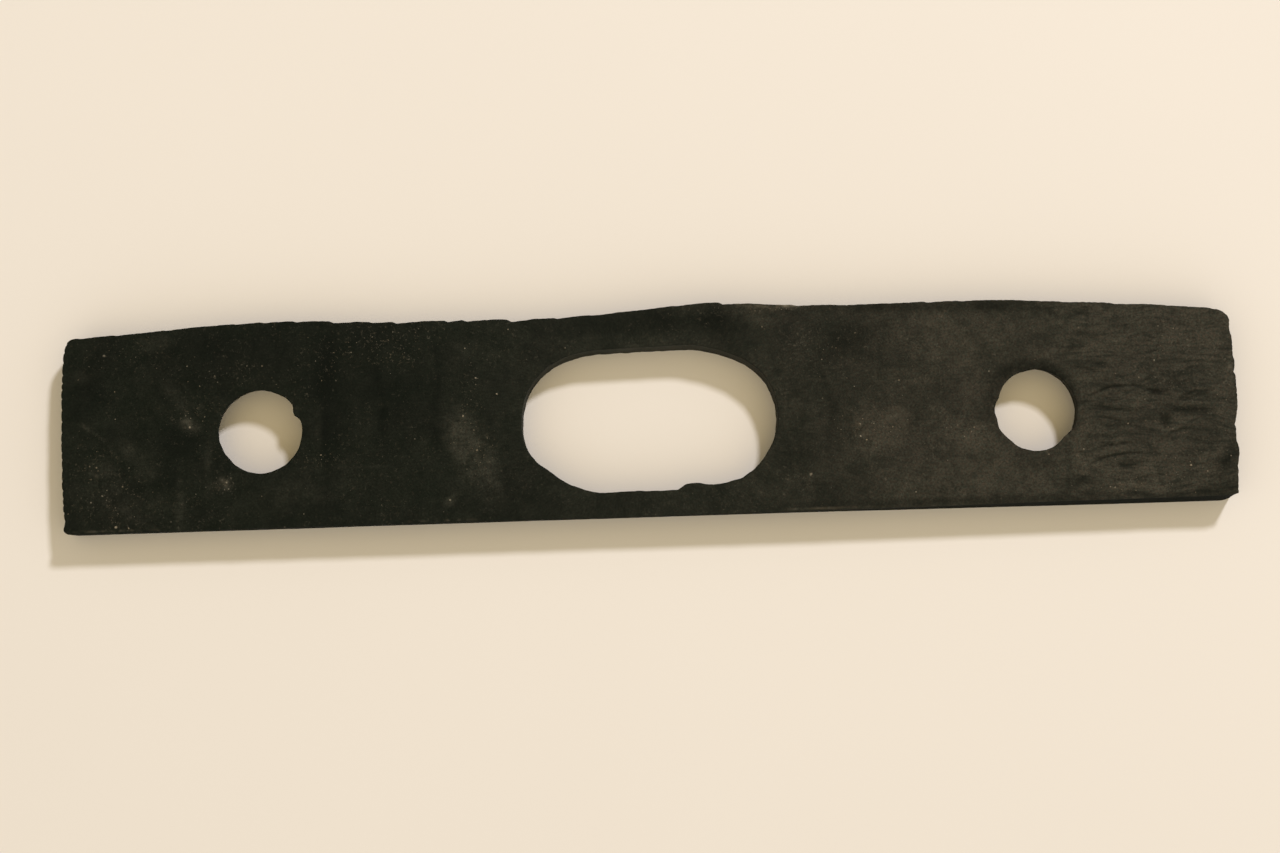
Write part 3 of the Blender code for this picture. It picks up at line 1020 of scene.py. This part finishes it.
def rubber_material():
    """Old black rubber: an olive-black body under brown-grey dust, with pale grit and specks, and the painted
    shade and painted light that its masks carry.
    """
    material = bpy.data.materials.new("worn_black_rubber")
    nodes = Nodes(material)
    place = nodes.millimetres()
    dust_and_light, dark, grit_and_highlight, cut, speckle = (nodes.mask(name) for name in ("dust_and_light", "dark", "grit_and_highlight", "cut", "speckle"))
    mottle = nodes.noise(place, 1.1, 4, 0.8)
    grain = nodes.noise(place, 2.6, 4, 0.7)
    worn = nodes.noise(place, 0.33, 6, 0.9)
    cloudy = nodes.noise(place, 0.12, 2, 0.6)
    fibre = nodes.noise(nodes.mask("streaks", "Vector"), 1.0, 5, 0.68)
    along = nodes.add("ShaderNodeSeparateXYZ", {0: place}).outputs[0]
    flow = nodes.ramp(along, 62, 80)

    dust_and_light_amount = nodes.maths("MULTIPLY", dust_and_light, nodes.ramp(mottle, 0.34, 0.66, 0.76, 1.24))
    dust_and_light_amount = nodes.maths("MULTIPLY", dust_and_light_amount, nodes.ramp(worn, 0.34, 0.66, 0.74, 1.26))
    streaky = nodes.maths("MULTIPLY_ADD", nodes.ramp(fibre, 0.32, 0.68, -0.44, 0.44), flow, 1.0)
    dust_and_light_amount = nodes.maths("MULTIPLY", dust_and_light_amount, streaky)
    dust_and_light_amount = nodes.maths("ADD", dust_and_light_amount, nodes.ramp(worn, 0.34, 0.66, -0.045, 0.055))
    # The dark mask takes dust away and darkens the body: cleaner rubber, and painted shade at the right hole,
    # creases, pit, lower edge and lower wall.
    dust_and_light_amount = nodes.maths("MULTIPLY", dust_and_light_amount, nodes.maths("SUBTRACT", 1.0, dark), clamp=True)
    kind = nodes.ramp(nodes.noise(place, 2.2, 3, 0.7), 0.36, 0.64)
    kind = nodes.maths("MULTIPLY_ADD", nodes.ramp(along, -30, 40, 1, 0), 0.4, kind, clamp=True)
    body = nodes.mix(dust_and_light_amount, OLIVE_BLACK, nodes.mix(kind, WARM_DUST, GREY_DUST))
    body = nodes.shade(body, nodes.ramp(grain, 0.32, 0.68, 0.64, 1.38))
    body = nodes.shade(body, nodes.ramp(cloudy, 0.3, 0.7, 0.84, 1.16))
    body = nodes.shade(body, nodes.maths("MULTIPLY_ADD", dark, -0.5, 1.0))

    crumbs = nodes.ramp(nodes.noise(place, 1.9, 4, 0.75, 0.4), 0.56, 0.70)
    crumbs = nodes.maths("MULTIPLY", crumbs, nodes.maths("MULTIPLY", speckle, 0.10))
    fine = nodes.specks(place, 0.55, 0.14, nodes.maths("MULTIPLY", speckle, 0.15))
    flecks = nodes.specks(place, 1.5, 0.26, nodes.maths("MULTIPLY", speckle, 0.16))
    pale = nodes.maths("MULTIPLY_ADD", fine, 0.15, nodes.maths("MULTIPLY", flecks, 0.20))
    pale = nodes.maths("ADD", nodes.maths("ADD", pale, crumbs), grit_and_highlight, clamp=True)
    tan = nodes.ramp(nodes.noise(place, 0.5, 1), 0.4, 0.6)
    body = nodes.mix(pale, body, nodes.mix(tan, CREAM_GRIT, OCHRE_GRIT))
    nodes.put(nodes.shader.inputs["Base Color"], body)

    rough = nodes.maths("ADD", nodes.ramp(grain, 0.3, 0.7, 0.60, 0.74), nodes.maths("MULTIPLY", dust_and_light_amount, 0.16))
    rough = nodes.maths("MULTIPLY_ADD", dark, 0.3, rough, clamp=True)
    nodes.put(nodes.shader.inputs["Roughness"], rough)
    nodes.put(nodes.shader.inputs["Specular IOR Level"], 0.11)
    nodes.put(nodes.shader.inputs["Specular Tint"], (0.88, 0.97, 0.93, 1))

    skin = nodes.bump(grain, 0.035, 0.8)
    pores = nodes.bump(nodes.noise(place, 8.0, 3, 0.6), 0.014, 0.8, skin)
    lines = nodes.noise(nodes.millimetres((0.25, 0.25, 3.0)), 1.0, 3, 0.6)
    knife = nodes.bump(nodes.maths("MULTIPLY", lines, cut), 0.08, 0.7, pores)
    grooves = nodes.bump(nodes.maths("MULTIPLY", fibre, flow), 0.06, 0.6, knife)
    nodes.put(nodes.shader.inputs["Normal"], grooves)
    return material


def floor_material():
    """A plain pale matte surface."""
    material = bpy.data.materials.new("pale_floor")
    nodes = Nodes(material)
    shade = nodes.noise(nodes.millimetres(), 0.012, 2)
    colour = nodes.mix(shade, (0.79, 0.79, 0.79, 1), (0.81, 0.81, 0.81, 1))
    nodes.put(nodes.shader.inputs["Base Color"], colour)
    nodes.put(nodes.shader.inputs["Roughness"], 0.95)
    nodes.put(nodes.shader.inputs["Specular IOR Level"], 0.1)
    return material


# ---------------------------------------------------------------- studio


def make_floor():
    """A wide floor just under the strip."""
    mesh = bpy.data.meshes.new("floor")
    half, level = 6.0, -0.02 * MM
    corners = [(-half, -half, level), (half, -half, level), (half, half, level), (-half, half, level)]
    mesh.from_pydata(corners, [], [(0, 1, 2, 3)])
    mesh.materials.append(floor_material())
    floor = bpy.data.objects.new("floor", mesh)
    bpy.context.scene.collection.objects.link(floor)


def make_key_light():
    """A small softbox up to the right and behind, which throws the rims' shadows into the openings."""
    light = bpy.data.lights.new("key", "AREA")
    light.shape = "DISK"
    light.size = KEY_SIZE
    light.energy = KEY_POWER
    light.color = KEY_COLOUR
    lamp = bpy.data.objects.new("key", light)
    height, turn = math.radians(KEY_HEIGHT), math.radians(KEY_TURN)
    way = Vector((math.cos(height) * math.cos(turn), math.cos(height) * math.sin(turn), math.sin(height)))
    lamp.location = way * KEY_DISTANCE
    lamp.rotation_euler = way.to_track_quat("Z", "Y").to_euler()
    bpy.context.scene.collection.objects.link(lamp)


def make_world():
    """A soft surround: cool and bright round the horizon, warm overhead, and brightest in front."""
    world = bpy.data.worlds.new("studio")
    world.use_nodes = True
    tree = world.node_tree
    coordinates = tree.nodes.new("ShaderNodeTexCoord")
    split = tree.nodes.new("ShaderNodeSeparateXYZ")
    tree.links.new(coordinates.outputs["Generated"], split.inputs[0])
    ramp = tree.nodes.new("ShaderNodeValToRGB")
    ramp.color_ramp.elements[0].color = HORIZON
    ramp.color_ramp.elements[1].color = OVERHEAD
    tree.links.new(split.outputs["Z"], ramp.inputs[0])
    tree.links.new(ramp.outputs[0], tree.nodes["Background"].inputs["Color"])
    front = tree.nodes.new("ShaderNodeMath")
    front.operation = "MULTIPLY_ADD"
    front.inputs[1].default_value = -FRONT_GAIN
    front.inputs[2].default_value = 1.0
    tree.links.new(split.outputs["Y"], front.inputs[0])
    tree.links.new(front.outputs[0], tree.nodes["Background"].inputs["Strength"])
    bpy.context.scene.world = world


def make_camera():
    """Nearly straight down, a little from the lower edge, and turned slightly clockwise."""
    low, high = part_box("rubber_strip")
    middle = (low + high) / 2
    aim = Vector((middle.x + AIM_OFFSET[0] * MM, middle.y + AIM_OFFSET[1] * MM, high.z))
    data = bpy.data.cameras.new("camera")
    data.sensor_width = 36
    data.lens = LENS
    data.clip_start = 0.01
    camera = bpy.data.objects.new("camera", data)
    turn = Matrix.Rotation(math.radians(CAMERA_TURN), 4, "Z")
    tilt = Matrix.Rotation(math.radians(CAMERA_TILT), 4, "X")
    roll = Matrix.Rotation(math.radians(CAMERA_ROLL), 4, "Z")
    back = Matrix.Translation((0, 0, CAMERA_DISTANCE))
    camera.matrix_world = Matrix.Translation(aim) @ turn @ tilt @ roll @ back
    bpy.context.scene.collection.objects.link(camera)
    bpy.context.scene.camera = camera


make_camera()
make_floor()
make_key_light()
make_world()
bpy.context.scene.view_settings.view_transform = "Standard"
make_strip(rubber_material())
